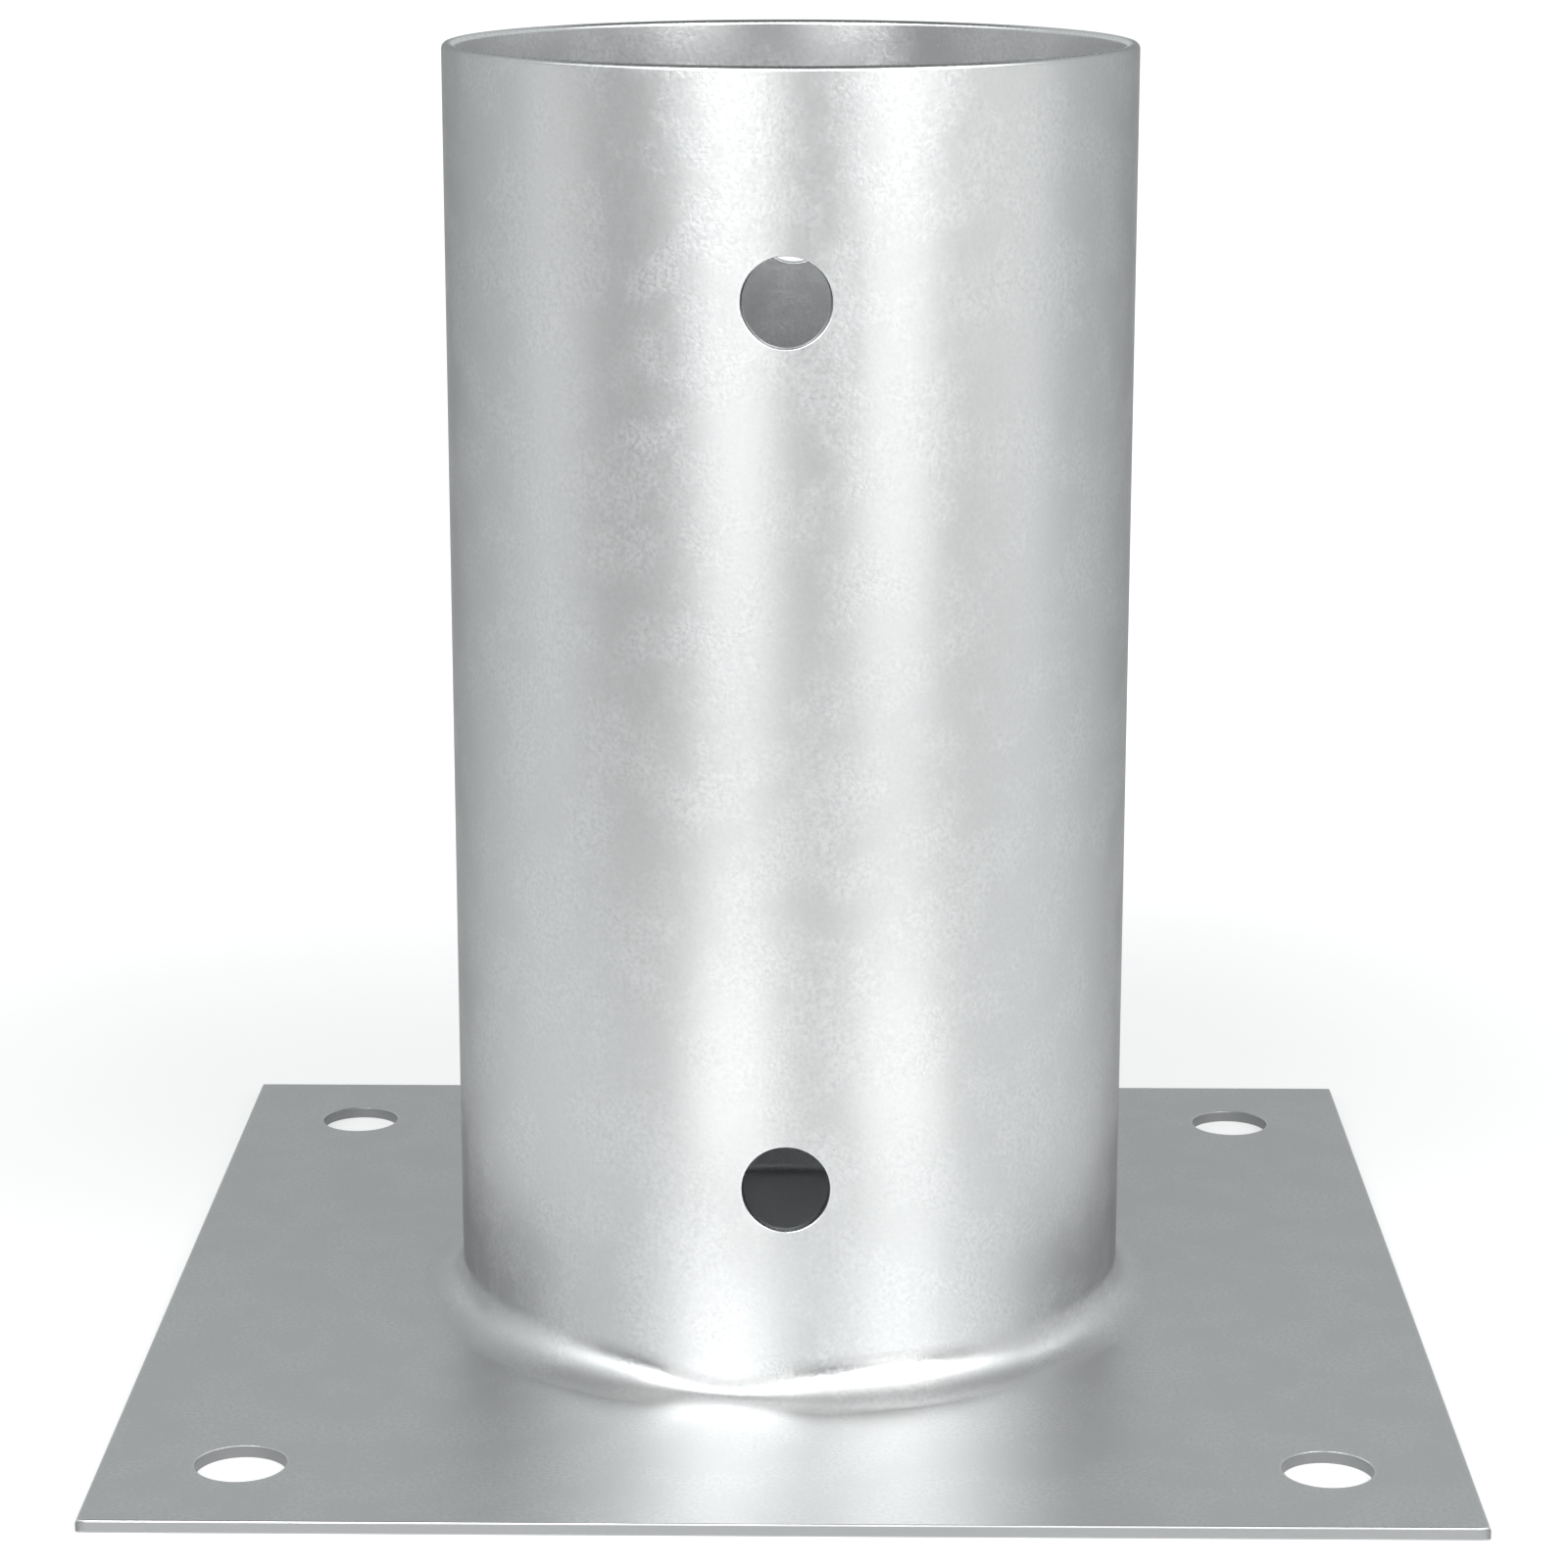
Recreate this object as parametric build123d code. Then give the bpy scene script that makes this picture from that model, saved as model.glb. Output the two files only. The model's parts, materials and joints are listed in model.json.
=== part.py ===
from build123d import *
import math
import os

# A ground anchor for a round post: a square steel base plate that screws down
# onto concrete or timber, an upright steel sleeve that the post's foot stands in,
# and the fillet weld that joins the sleeve to the plate all the way round.
# Everything is in millimetres. The origin is the centre of the plate's underside,
# +Z is up, and the sleeve's screw holes face -Y and +Y.

# Base plate
plate_side = 150.0
plate_thickness = 1.5
plate_corner_rounding = 0.3  # upright corners, as sheared
plate_edge_chamfer = 0.2  # top and bottom outlines, deburred and softened by the zinc
bolt_hole_diameter = 10.0
bolt_hole_inset = 15.5  # from the plate's two nearest edges to the hole's centre
bolt_hole_edge_chamfer = 0.15

# Sleeve
sleeve_outer_diameter = 80.0
sleeve_wall = 1.5
sleeve_length = 150.0
sleeve_rim_chamfer = 0.35  # both edges of the sawn rim, deburred
screw_hole_diameter = 10.0
screw_hole_edge_chamfer = 0.2
upper_screw_hole_drop = 25.0  # from the rim down to the hole's centre
lower_screw_hole_rise = 25.0  # from the plate's top up to the hole's centre

# Weld
weld_leg = 5.0  # reach along the plate and up the sleeve
weld_toe_angle = 4.0  # degrees left between the bead's face and the steel at each toe

# Places that follow from the sizes above
sleeve_outer_radius = sleeve_outer_diameter / 2
sleeve_inner_radius = sleeve_outer_radius - sleeve_wall
sleeve_foot = plate_thickness
sleeve_rim = sleeve_foot + sleeve_length
lower_screw_hole_height = sleeve_foot + lower_screw_hole_rise
upper_screw_hole_height = sleeve_rim - upper_screw_hole_drop
bolt_spacing = plate_side - 2 * bolt_hole_inset


def make_base_plate():
    """Sheared square of flat sheet with a bolt hole near each corner."""
    with BuildPart() as plate:
        with BuildSketch():
            Rectangle(plate_side, plate_side)
        extrude(amount=plate_thickness)
        fillet(plate.edges().filter_by(Axis.Z), radius=plate_corner_rounding)
        chamfer(plate.faces().filter_by(Axis.Z).edges(), length=plate_edge_chamfer)
        with GridLocations(bolt_spacing, bolt_spacing, 2, 2):
            Hole(bolt_hole_diameter / 2)
        hole_mouths = [wire for face in plate.faces().filter_by(Axis.Z) for wire in face.inner_wires()]
        chamfer([edge for wire in hole_mouths for edge in wire.edges()], length=bolt_hole_edge_chamfer)
    return plate.part


def make_sleeve():
    """Length of tube stood on the plate, drilled right through at two heights."""
    with BuildPart() as sleeve:
        with BuildSketch(Plane.XY.offset(sleeve_foot)):
            Circle(sleeve_outer_radius)
            Circle(sleeve_inner_radius, mode=Mode.SUBTRACT)
        extrude(amount=sleeve_length)
        chamfer(sleeve.faces().sort_by(Axis.Z)[-1].edges(), length=sleeve_rim_chamfer)
        drill_travel = sleeve_outer_diameter + 2 * sleeve_wall
        for height in (lower_screw_hole_height, upper_screw_hole_height):
            with Locations(Location((0, 0, height), (90, 0, 0))):
                Cylinder(screw_hole_diameter / 2, drill_travel, mode=Mode.SUBTRACT)
        # The drill meets the round wall in saddle-shaped edges, the only ones that aren't lines or circles
        hole_mouths = sleeve.edges().filter_by(
            lambda edge: edge.geom_type not in (GeomType.LINE, GeomType.CIRCLE)
        )
        chamfer(hole_mouths, length=screw_hole_edge_chamfer)
    return sleeve.part


def make_weld():
    """Hollow-faced fillet weld in the corner between the plate and the sleeve."""
    half_sweep = math.radians(45 - weld_toe_angle)
    half_chord = weld_leg / math.sqrt(2)
    face_radius = half_chord / math.sin(half_sweep)
    throat = half_chord - face_radius * (1 - math.cos(half_sweep))
    lower_toe = (sleeve_outer_radius + weld_leg, sleeve_foot)
    upper_toe = (sleeve_outer_radius, sleeve_foot + weld_leg)
    root = (sleeve_outer_radius, sleeve_foot)
    face_middle = (root[0] + throat / math.sqrt(2), root[1] + throat / math.sqrt(2))
    with BuildPart() as weld:
        with BuildSketch(Plane.XZ):
            with BuildLine():
                ThreePointArc(lower_toe, face_middle, upper_toe)
                Line(upper_toe, root)
                Line(root, lower_toe)
            make_face()
        revolve(axis=Axis.Z)
    return weld.part


os.makedirs("parts", exist_ok=True)
export_step(make_base_plate(), "parts/base_plate.step")
export_step(make_sleeve(), "parts/post_sleeve.step")
export_step(make_weld(), "parts/weld_bead.step")
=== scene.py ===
import json
import math
import bpy
import bmesh
from mathutils import Matrix, Vector


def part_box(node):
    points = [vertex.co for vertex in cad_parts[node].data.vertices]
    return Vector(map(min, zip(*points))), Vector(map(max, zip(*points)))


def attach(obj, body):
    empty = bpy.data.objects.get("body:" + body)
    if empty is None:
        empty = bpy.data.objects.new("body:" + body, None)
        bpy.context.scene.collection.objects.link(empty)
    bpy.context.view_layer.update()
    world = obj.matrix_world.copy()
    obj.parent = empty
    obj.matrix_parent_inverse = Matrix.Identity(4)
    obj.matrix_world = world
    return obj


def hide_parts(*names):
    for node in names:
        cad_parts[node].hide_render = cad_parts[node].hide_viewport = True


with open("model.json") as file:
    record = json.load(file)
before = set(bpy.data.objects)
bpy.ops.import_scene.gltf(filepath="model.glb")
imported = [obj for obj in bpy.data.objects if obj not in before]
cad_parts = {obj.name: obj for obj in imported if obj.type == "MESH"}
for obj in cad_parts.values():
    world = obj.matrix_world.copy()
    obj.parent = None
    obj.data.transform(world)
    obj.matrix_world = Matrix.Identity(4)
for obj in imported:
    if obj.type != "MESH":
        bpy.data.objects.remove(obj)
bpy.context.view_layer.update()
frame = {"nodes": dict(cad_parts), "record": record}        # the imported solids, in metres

mm = 0.001
plateLow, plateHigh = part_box("base_plate")
sleeveLow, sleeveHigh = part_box("post_sleeve")
weldLow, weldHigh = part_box("weld_bead")
mounts = {mount["name"]: mount for mount in frame["record"]["mounts"]}
bolts = mounts["base_bolts"]["dims"]
screwHoles = [mounts[name] for name in ("lower_screw_hole", "upper_screw_hole")]
print("frame loaded:", len(frame["nodes"]), "solids")


# Meshes

def punchedSheet(width, height, cells, holes, holeRadius, patch):
    # a flat grid in X and Y with a round hole at each centre in holes, all of it in four-sided faces
    bm = bmesh.new()
    bmesh.ops.create_grid(bm, x_segments=cells[0], y_segments=cells[1], size=0.5)
    bmesh.ops.scale(bm, vec=(width, height, 1), verts=bm.verts)
    for hole in holes:
        centre = Vector(hole)
        near = [
            face for face in bm.faces
            if max(abs(c) for c in (face.calc_center_median() - centre).xy) < patch / 2
        ]
        bmesh.ops.delete(bm, geom=near, context="FACES")
        square = [
            edge for edge in bm.edges
            if edge.is_boundary and max(abs(c) for c in (edge.verts[0].co - centre).xy) < patch
        ]
        # the circle waits above the sheet, so that the bridge turns the same way round both loops
        above = Matrix.Translation(centre + Vector((0, 0, holeRadius)))
        ring = bmesh.ops.create_circle(bm, segments=len(square), radius=holeRadius, matrix=above)
        circle = list({edge for vert in ring["verts"] for edge in vert.link_edges})
        bmesh.ops.bridge_loops(bm, edges=square + circle)
    bmesh.ops.scale(bm, vec=(1, 1, 0), verts=bm.verts)
    bmesh.ops.recalc_face_normals(bm, faces=bm.faces)
    if sum(face.normal.z for face in bm.faces) < 0:
        bmesh.ops.reverse_faces(bm, faces=bm.faces)
    return bm


def weighEdges(bm, weightAt):
    # gives each open edge of the sheet a bevel weight by where its middle is
    layer = bm.edges.layers.float.new("bevel_weight_edge")
    for edge in bm.edges:
        if edge.is_boundary:
            edge[layer] = weightAt((edge.verts[0].co + edge.verts[1].co) / 2)


def pieceFrom(bm, name, material):
    mesh = bpy.data.meshes.new(name)
    bm.to_mesh(mesh)
    bm.free()
    mesh.shade_smooth()
    piece = bpy.data.objects.new(name, mesh)
    bpy.context.scene.collection.objects.link(piece)
    mesh.materials.append(material)
    return piece


def thicken(piece, wall, softEdge, steps=3):
    # softEdge is the rounding of an edge whose bevel weight is 1
    solidify = piece.modifiers.new("wall", "SOLIDIFY")
    solidify.thickness = wall
    solidify.offset = -1
    solidify.use_even_offset = True
    bevel = piece.modifiers.new("softEdges", "BEVEL")
    bevel.width = softEdge
    bevel.segments = steps
    bevel.limit_method = "WEIGHT"
    bevel.harden_normals = True


# Shader wiring

class Wire:  # one output socket, with arithmetic
    def __init__(self, shader, socket):
        self.shader = shader
        self.socket = socket

    def maths(self, operation, *values):
        return self.shader.add("Math", {"operation": operation}, dict(enumerate(values)))

    def __add__(self, other):
        return self.maths("ADD", self, other)

    def __sub__(self, other):
        return self.maths("SUBTRACT", self, other)

    def __rsub__(self, other):
        return self.maths("SUBTRACT", other, self)

    def __mul__(self, other):
        return self.maths("MULTIPLY", self, other)

    def __pow__(self, other):
        return self.maths("POWER", self, other)

    def __abs__(self):
        return self.maths("ABSOLUTE", self)

    def __or__(self, other):  # the larger of the two, which joins masks
        return self.maths("MAXIMUM", self, other)

    __radd__ = __add__
    __rmul__ = __mul__


class Shader:  # a node tree that is filled by expressions
    def __init__(self, owner):
        owner.use_nodes = True
        self.tree = owner.node_tree
        self.tree.nodes.clear()

    def add(self, kind, settings=None, inputs=None, output=0):
        node = self.tree.nodes.new("ShaderNode" + kind)
        for key, value in (settings or {}).items():
            setattr(node, key, value)
        for key, value in (inputs or {}).items():
            if isinstance(value, Wire):
                self.tree.links.new(value.socket, node.inputs[key])
            else:
                node.inputs[key].default_value = value
        return Wire(self, node.outputs[output]) if node.outputs else None

    def smooth(self, value, low, high):
        return self.add("MapRange", {"interpolation_type": "SMOOTHSTEP"}, {0: value, 1: low, 2: high})

    def mix(self, share, first, second):
        return self.add("Mix", {"data_type": "RGBA"}, {0: share, 6: first, 7: second}, output=2)

    def noise(self, place, scale, detail, roughness=0.6):
        inputs = {"Vector": place, "Scale": scale, "Detail": detail, "Roughness": roughness}
        return self.add("TexNoise", {}, inputs)

    def split(self, vector):
        parts = self.add("SeparateXYZ", {}, {0: vector}).socket.node.outputs
        return [Wire(self, part) for part in parts]


# Galvanised finish
zinc = {
    "clouds": 130,  # patches of crystals, per metre
    "cloudDetail": 3,
    "cloudEdge": (0.38, 0.62),
    "crystals": 2000,
    "crystalDetail": 2,
    "grainRange": (0.3, 1.0),  # strength of the grain outside the patches and in them
    "ripples": 140,
    "rippleDetail": 4,
    "shades": (0.92, 1.08),  # shares of the colour at its deepest and palest
    "shadeStart": 0.38,
    "shadeByGrain": 3,
    "shadeByCloud": 0.24,
    "polish": 0.08,  # roughness that the zinc loses where it is rubbed
}


def zincCoat(shader, place, finish, wear):
    # zinc with fine crystals in drifting patches, rubbed bright where wear is 1
    cloud = shader.smooth(shader.noise(place, zinc["clouds"], zinc["cloudDetail"]), *zinc["cloudEdge"])
    crystals = shader.noise(place, zinc["crystals"], zinc["crystalDetail"])
    ripples = shader.noise(place, zinc["ripples"], zinc["rippleDetail"])
    faint, full = zinc["grainRange"]
    grain = (crystals - 0.5) * (cloud * (full - faint) + faint)
    height = grain * finish["crystalHeight"] + ripples * finish["rippleHeight"]
    deep, pale = ([channel * share for channel in finish["colour"]] + [1] for share in zinc["shades"])
    tone = grain * zinc["shadeByGrain"] + cloud * zinc["shadeByCloud"] + zinc["shadeStart"]
    roughness = grain * finish["speckle"] + (cloud - 0.5) * finish["cloudiness"] + finish["roughness"]
    return shader.add("BsdfPrincipled", {}, {
        "Base Color": shader.mix(wear, shader.mix(tone, deep, pale), [*finish["rubbed"], 1]),
        "Metallic": 1.0,
        "Roughness": roughness - wear * zinc["polish"],
        # a Specular Tint below 1 darkens the grazing reflections: painted shade at the flanks, standing in
        # for dimmer surroundings at the sides
        "Specular Tint": [finish["paintedEdgeShadeTint"]] * 3 + [1],
        "Normal": shader.add("Bump", {}, {"Strength": 1, "Distance": 1, "Height": height}),
    })


# Base plate
plate = {
    "cells": (116, 116),
    "patch": 15 * mm,
    "softEdge": 0.3 * mm,
    "finish": {
        "colour": (0.657, 0.66, 0.661),
        "rubbed": (0.72, 0.725, 0.73),
        "roughness": 0.4,
        "speckle": 0.1,
        "cloudiness": 0.01,
        # painted shade: darkens the plate's grazing reflections
        "paintedEdgeShadeTint": 0.7,
        "crystalHeight": 0.012 * mm,
        "rippleHeight": 0.008 * mm,
    },
    "wearWidth": 0.5 * mm,
    "mouthWeight": 0.6,
    "cutColour": (0.43, 0.433, 0.435, 1),  # the sheared sides take less zinc
    "wallColour": (0.33, 0.333, 0.335, 1),  # and the punched holes least
    "cutRoughness": 0.5,
    "cutDepth": (0.06 * mm, 0.01 * mm),
    "wallDepth": (0.07 * mm, 0.01 * mm),
}


def plateZinc():
    material = bpy.data.materials.new("plateZinc")
    shader = Shader(material)
    place = shader.add("TexCoord", output=3)
    x, y, z = shader.split(place)
    width = plate["wearWidth"]
    outline = shader.smooth(abs(x) | abs(y), plateHigh.x - width, plateHigh.x)
    reachX, reachY = bolts["spacing_x_mm"] * mm / 2, bolts["spacing_y_mm"] * mm / 2
    fromHole = ((abs(x) - reachX) ** 2 + (abs(y) - reachY) ** 2) ** 0.5
    mouth = shader.smooth(fromHole, bolts["hole_r_mm"] * mm + width, bolts["hole_r_mm"] * mm)
    skin = zincCoat(shader, place, plate["finish"], outline | mouth)
    side = shader.smooth(abs(x) | abs(y), *(plateHigh.x - depth for depth in plate["cutDepth"]))
    wall = shader.smooth(fromHole, *(bolts["hole_r_mm"] * mm + depth for depth in plate["wallDepth"]))
    cut = shader.add("BsdfPrincipled", {}, {
        "Base Color": shader.mix(wall, plate["cutColour"], plate["wallColour"]),
        "Metallic": 1.0,
        "Roughness": plate["cutRoughness"],
    })
    metal = shader.add("MixShader", {}, {0: side | wall, 1: skin, 2: cut})
    shader.add("OutputMaterial", {}, {"Surface": metal})
    return material


def makePlate():
    reachX, reachY = bolts["spacing_x_mm"] * mm / 2, bolts["spacing_y_mm"] * mm / 2
    holes = [(sideX * reachX, sideY * reachY, 0) for sideX in (-1, 1) for sideY in (-1, 1)]
    size = plateHigh - plateLow
    bm = punchedSheet(size.x, size.y, plate["cells"], holes, bolts["hole_r_mm"] * mm, plate["patch"])
    bmesh.ops.translate(bm, vec=(0, 0, plateHigh.z), verts=bm.verts)
    outline = size.x / 2 - mm
    weighEdges(bm, lambda point: 1 if max(abs(point.x), abs(point.y)) > outline else plate["mouthWeight"])
    piece = pieceFrom(bm, "plate_skin", plateZinc())
    thicken(piece, size.z, plate["softEdge"])
    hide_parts("base_plate")
    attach(piece, "root")


# Sleeve
sleeve = {
    "cells": (192, 120),
    "patch": 15 * mm,
    "softEdge": 0.6 * mm,
    "mouthWeight": 0.25,
    "finish": {
        "colour": (0.65, 0.652, 0.652),
        "rubbed": (0.7, 0.705, 0.71),
        "roughness": 0.36,
        "speckle": 0.15,
        "cloudiness": 0.03,
        # painted shade: darkens the sleeve's flanks at grazing angles
        "paintedEdgeShadeTint": 0.45,
        "crystalHeight": 0.035 * mm,
        "rippleHeight": 0.024 * mm,
    },
    # the bore's colour is paler than the skin's: painted light inside the tube, where little lamp light
    # reaches
    "bore": {
        "colour": (0.76, 0.765, 0.77),
        "rubbed": (0.7, 0.705, 0.71),
        "roughness": 0.42,
        "speckle": 0.15,
        "cloudiness": 0.05,
        "paintedEdgeShadeTint": 1.0,
        "crystalHeight": 0.03 * mm,
        "rippleHeight": 0.02 * mm,
    },
    "mouth": {  # the bore near the rim, where the zinc ran off and stayed smooth; its still paler colour is painted light inside the tube
        "colour": (0.79, 0.793, 0.795),
        "rubbed": (0.7, 0.705, 0.71),
        "roughness": 0.3,
        "speckle": 0.15,
        "cloudiness": 0.03,
        "paintedEdgeShadeTint": 1.0,
        "crystalHeight": 0.02 * mm,
        "rippleHeight": 0.03 * mm,
    },
    "wearWidth": 0.4 * mm,
    "liningDepth": (0.7 * mm, 1.3 * mm),  # from the outside, where the skin's finish gives way
    "mouthReach": (30 * mm, 8 * mm),  # below the rim, where the bore turns into the mouth
}


def sleeveZinc():
    material = bpy.data.materials.new("sleeveZinc")
    shader = Shader(material)
    place = shader.add("TexCoord", output=3)
    x, y, z = shader.split(place)
    width = sleeve["wearWidth"]
    wear = shader.smooth(z, sleeveHigh.z - width, sleeveHigh.z)
    for hole in screwHoles:
        radius = hole["dims"]["r_mm"] * mm
        fromHole = (x ** 2 + (z - hole["pos_m"][2]) ** 2) ** 0.5
        wear = wear | shader.smooth(fromHole, radius + width, radius)
    reach = (x ** 2 + y ** 2) ** 0.5
    inside = shader.smooth(reach, *(sleeveHigh.x - depth for depth in sleeve["liningDepth"]))
    mouth = shader.smooth(z, *(sleeveHigh.z - depth for depth in sleeve["mouthReach"]))
    skin, bore, lip = (zincCoat(shader, place, sleeve[name], wear) for name in ("finish", "bore", "mouth"))
    # the lining mixes the bore and mouth finishes, both painted paler than the skin as painted light
    # inside the tube
    paintedLightLining = shader.add("MixShader", {}, {0: mouth, 1: bore, 2: lip})
    metal = shader.add("MixShader", {}, {0: inside, 1: skin, 2: paintedLightLining})
    shader.add("OutputMaterial", {}, {"Surface": metal})
    return material


def sleeveEdge(point):
    if point.z < sleeveLow.z + mm:
        return 0
    return 1 if point.z > sleeveHigh.z - mm else sleeve["mouthWeight"]


def makeSleeve():
    radius = (sleeveHigh.x - sleeveLow.x) / 2
    bore = mounts["post_socket"]["dims"]["r_mm"] * mm
    length = sleeveHigh.z - sleeveLow.z
    middle = (sleeveHigh.z + sleeveLow.z) / 2
    girth = 2 * math.pi * radius
    heights = [hole["pos_m"][2] - middle for hole in screwHoles]
    holes = [(side * girth / 4, height, 0) for side in (-1, 1) for height in heights]
    bm = punchedSheet(
        girth, length, sleeve["cells"], holes, screwHoles[0]["dims"]["r_mm"] * mm, sleeve["patch"]
    )
    for vert in bm.verts:  # rolls the flat sheet round the post's axis
        turn = vert.co.x / radius
        vert.co = Vector((-radius * math.cos(turn), radius * math.sin(turn), middle + vert.co.y))
    bmesh.ops.remove_doubles(bm, verts=bm.verts, dist=0.01 * mm)
    bmesh.ops.recalc_face_normals(bm, faces=bm.faces)
    outward = sum(face.normal.dot(Vector((*face.calc_center_median().xy, 0))) for face in bm.faces)
    if outward < 0:
        bmesh.ops.reverse_faces(bm, faces=bm.faces)
    weighEdges(bm, sleeveEdge)
    piece = pieceFrom(bm, "sleeve_skin", sleeveZinc())
    thicken(piece, radius - bore, sleeve["softEdge"])
    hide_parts("post_sleeve")
    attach(piece, "root")


# Weld
weld = {
    "segments": 240,
    "arcSteps": 20,
    "hollow": 2.3,  # 2 is a round arc; more draws the bead's middle into the corner and eases its toes
    "swing": 0.5,  # how far the hollow goes up and down along the bead
    "dip": 3.0,  # how much deeper it goes where the bead runs thin
    "dipPower": 3,  # more keeps the dip narrower
    "tuck": 0.25,  # share by which its reach along the plate shrinks there
    "waves": (5, 7),  # times round the foot
    "crest": -10,  # degrees from straight in front, where both waves are high
    "pool": 0.3,  # roughness in the upper half of the bead's face, where the zinc gathered
    "poolSpread": 0.2,  # what is added to it towards the sides
    "poolEnds": (16 * mm, 30 * mm),  # sideways from the middle
    "poolWidth": 1.5 * mm,
    "toe": 0.46,  # roughness where it runs out on the plate
    "toeHeight": (1 * mm, 2.5 * mm),
    "sharpFrom": 40,  # degrees between faces
}


def waveAt(azimuth):
    beyond = azimuth - math.radians(weld["crest"])
    return sum(math.cos(count * beyond) for count in weld["waves"]) / len(weld["waves"])


def weldZinc():
    # the bead shares the sleeve's zinc at its upper toe and the plate's at its lower one
    material = bpy.data.materials.new("weldZinc")
    shader = Shader(material)
    place = shader.add("TexCoord", output=3)
    x, y, z = shader.split(place)
    upper = shader.smooth(z, *(weldLow.z + height for height in weld["toeHeight"]))
    top = shader.smooth(z, weldHigh.z - weld["poolWidth"], weldHigh.z)
    poolRoughness = shader.smooth(abs(x), *weld["poolEnds"]) * weld["poolSpread"] + weld["pool"]
    toe, pool, skin = (
        zincCoat(shader, place, finish, 0.0) for finish in (
            {**plate["finish"], "roughness": weld["toe"]},
            {**sleeve["finish"], "roughness": poolRoughness},
            sleeve["finish"],
        )
    )
    face = shader.add("MixShader", {}, {0: top, 1: pool, 2: skin})
    metal = shader.add("MixShader", {}, {0: upper, 1: toe, 2: face})
    shader.add("OutputMaterial", {}, {"Surface": metal})
    return material


def makeWeld():
    root = (sleeveHigh.x - sleeveLow.x) / 2
    leg = weldHigh.z - weldLow.z
    bm = bmesh.new()
    rings = []
    for segment in range(weld["segments"]):
        azimuth = 2 * math.pi * segment / weld["segments"]  # from straight in front
        wave = waveAt(azimuth)
        dip = weld["dip"] * max(wave, 0) ** weld["dipPower"]
        power = 2 / (weld["hollow"] + weld["swing"] * wave + dip)
        reachOut = leg * (1 - weld["tuck"] * max(wave, 0))
        section = []
        for step in range(weld["arcSteps"] + 1):  # from the toe on the plate up to the toe on the sleeve
            turn = math.pi / 2 * step / weld["arcSteps"]
            reach = root + reachOut * (1 - math.sin(turn) ** power)
            up = leg * (1 - max(math.cos(turn), 0) ** power)
            section.append((reach, up))
        section.append((root, 0))
        rings.append([
            bm.verts.new((reach * math.sin(azimuth), -reach * math.cos(azimuth), weldLow.z + up))
            for reach, up in section
        ])
    for ring, following in zip(rings, rings[1:] + rings[:1]):
        for i in range(len(ring)):
            j = (i + 1) % len(ring)
            bm.faces.new((ring[i], ring[j], following[j], following[i]))
    bmesh.ops.recalc_face_normals(bm, faces=bm.faces)
    piece = pieceFrom(bm, "weld_skin", weldZinc())
    piece.data.set_sharp_from_angle(angle=math.radians(weld["sharpFrom"]))
    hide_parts("weld_bead")
    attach(piece, "root")


makePlate()
makeSleeve()
makeWeld()
print("pieces made")


# Stage
stage = {
    "floorSize": 12,
    "floorColour": (0.5, 0.5, 0.5, 1),
    "floorLift": (0.52, 0.8),  # keeps the floor white to the camera, less so where the shadow falls
    "liftDistance": (0.1, 0.3),
    "mirroredLift": 0.346,  # and pale in the metal
    "apron": (-0.22, -0.07),  # in front the mirrored lift comes in over this stretch of Y
    "distance": (0.6, 1.2),  # and everywhere over this distance
    "lampDistance": 0.5,
    "footlightHeight": 2 * mm,
    "backWall": 0.64,
    "frontWall": 0.11,
    "frontHigh": 1.91,
    "ceiling": 0.13,
    "tint": (0.965, 1.0, 1.01, 1),  # the room is a little bluer than the lamps
    "wallTop": (17, 23),  # degrees up, where the front wall gives way to the lit part above it
    "ceilingFrom": (43, 50),
    "wallSplit": (-0.1, 0.1),  # Y of a ray, where the front half of the room meets the back half
}
# azimuths from straight in front, positive to the right, then elevations, then radiance
softboxes = {
    "leftTop": ((-40, -4), (26, 60), 4.3),
    "leftFoot": ((-34, -4), (16, 26), 2.17),
    "leftBase": ((-28, -4), (0.3, 8), 2.38),
    "rightTop": ((20, 56), (26, 60), 3.03),
    "rightWide": ((56, 76), (26, 60), 0.69),
    "rightFoot": ((20, 50), (16, 26), 2.4),
    "rightBase": ((20, 46), (0.3, 8), 2.32),
    "leftWing": ((-90, -64), (0.3, 26), 0.46),
    "rightWing": ((56, 90), (0.3, 26), 0.58),
}
# flat panels just above the floor that shine up: azimuths, then near and far edge, then radiance
footlights = {
    "leftCard": ((-28, -4), (0.12, 0.18), 1.81),
    "rightCard": ((20, 44), (0.12, 0.18), 1.6),
}
eye = {
    "lens": 96.3,
    "sensor": 36,
    "place": (5.313 * mm, -487.35 * mm, 183.97 * mm),
    "pitch": 13.86,  # degrees down
    "roll": -0.03,
    "turn": 0.0125,  # radians to the left
}


def makeFloor():
    bm = bmesh.new()
    bmesh.ops.create_grid(bm, x_segments=1, y_segments=1, size=stage["floorSize"] / 2)
    material = bpy.data.materials.new("floorPaint")
    shader = Shader(material)
    x, y, z = shader.split(shader.add("TexCoord", output=3))
    distance = (x ** 2 + y ** 2) ** 0.5
    lit = shader.smooth(y, *stage["apron"]) | shader.smooth(distance, *stage["distance"])
    near, far = stage["floorLift"]
    seen = shader.smooth(distance, *stage["liftDistance"]) * (far - near) + near
    camera, glossy, transmission = (
        shader.add("LightPath", output=f"Is {kind} Ray") for kind in ("Camera", "Glossy", "Transmission")
    )
    lift = camera * seen | lit * (glossy | transmission) * stage["mirroredLift"]
    paint = shader.add("BsdfDiffuse", {}, {"Color": stage["floorColour"]})
    colour = shader.mix(camera, stage["tint"], (1, 1, 1, 1))
    glow = shader.add("Emission", {}, {"Color": colour, "Strength": lift})
    shader.add("OutputMaterial", {}, {"Surface": shader.add("AddShader", {}, {0: paint, 1: glow})})
    floor = pieceFrom(bm, "floor", material)


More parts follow.
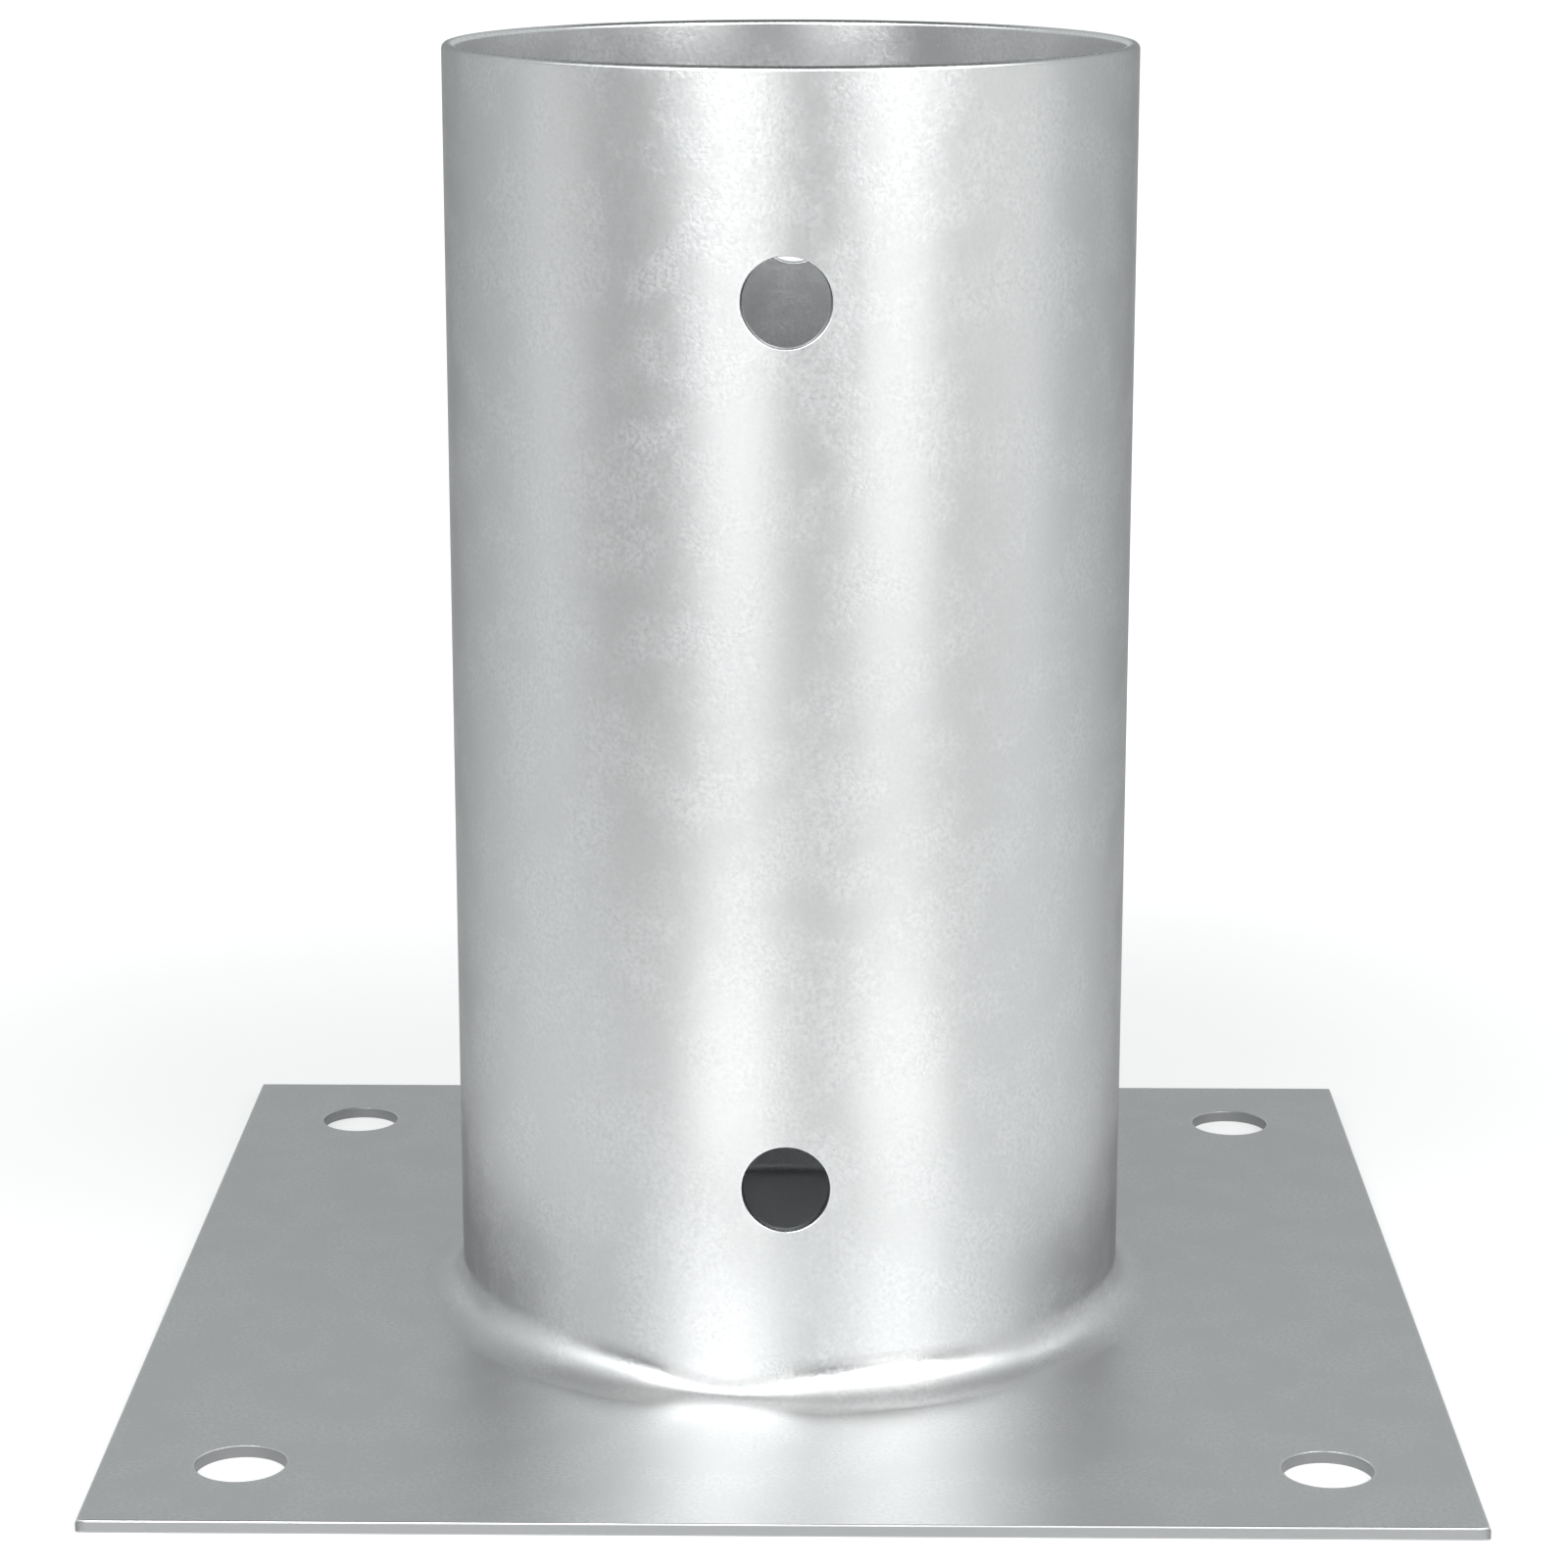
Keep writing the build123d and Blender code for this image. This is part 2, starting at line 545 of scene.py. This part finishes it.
def makeWorld():
    world = bpy.data.worlds.new("studio")
    bpy.context.scene.world = world
    shader = Shader(world)
    x, y, z = shader.split(shader.add("TexCoord", output=0))
    behind = shader.smooth(y, *stage["wallSplit"])
    high, top = (
        shader.smooth(z, *(math.sin(math.radians(angle)) for angle in stage[name]))
        for name in ("wallTop", "ceilingFrom")
    )
    front = high * (stage["frontHigh"] - stage["frontWall"]) + stage["frontWall"]
    wall = front * (1 - behind) + behind * stage["backWall"]
    strength = wall * (1 - top) + top * stage["ceiling"]
    light = shader.add("Background", {}, {"Color": stage["tint"], "Strength": strength})
    shader.add("OutputWorld", {}, {"Surface": light})


def makePanel(name, width, height, radiance, place, turns):
    lamp = bpy.data.lights.new(name, "AREA")
    lamp.shape = "RECTANGLE"
    lamp.size, lamp.size_y = width, height
    lamp.energy = radiance * math.pi * width * height
    panel = bpy.data.objects.new(name, lamp)
    panel.location = place
    panel.rotation_euler = turns
    panel.visible_camera = False
    bpy.context.scene.collection.objects.link(panel)


def makeSoftbox(name, azimuths, elevations, radiance):
    # a flat panel of light that faces the object
    turn, rise = (math.radians(sum(angles) / 2) for angles in (azimuths, elevations))
    halfTurn, halfRise = (math.radians(angles[1] - angles[0]) / 2 for angles in (azimuths, elevations))
    distance = stage["lampDistance"]
    width = 2 * distance * math.tan(halfTurn) * math.cos(rise)
    height = 2 * distance * math.tan(halfRise)
    reach = distance * math.cos(rise)
    place = (reach * math.sin(turn), -reach * math.cos(turn), distance * math.sin(rise))
    makePanel(name, width, height, radiance, place, (math.pi / 2 - rise, 0, turn))


def makeFootlight(name, azimuths, edges, radiance):
    turn, halfTurn = (math.radians(span) / 2 for span in (sum(azimuths), azimuths[1] - azimuths[0]))
    reach = sum(edges) / 2
    width = 2 * reach * math.tan(halfTurn)
    place = (reach * math.sin(turn), -reach * math.cos(turn), stage["footlightHeight"])
    makePanel(name, width, edges[1] - edges[0], radiance, place, (math.pi, 0, turn))


def makeCamera():
    # stands where the photograph was taken from, turned down to the object instead of shifted
    view = bpy.data.cameras.new("camera")
    view.sensor_width = eye["sensor"]
    view.lens = eye["lens"]
    camera = bpy.data.objects.new("camera", view)
    camera.location = eye["place"]
    camera.rotation_euler = (math.radians(90 - eye["pitch"]), math.radians(eye["roll"]), eye["turn"])
    bpy.context.scene.collection.objects.link(camera)
    bpy.context.scene.camera = camera


makeFloor()
makeWorld()
for name, (azimuths, elevations, radiance) in softboxes.items():
    makeSoftbox(name, azimuths, elevations, radiance)
for name, (azimuths, edges, radiance) in footlights.items():
    makeFootlight(name, azimuths, edges, radiance)
makeCamera()
bpy.context.scene.view_settings.view_transform = "Standard"
print("stage set")
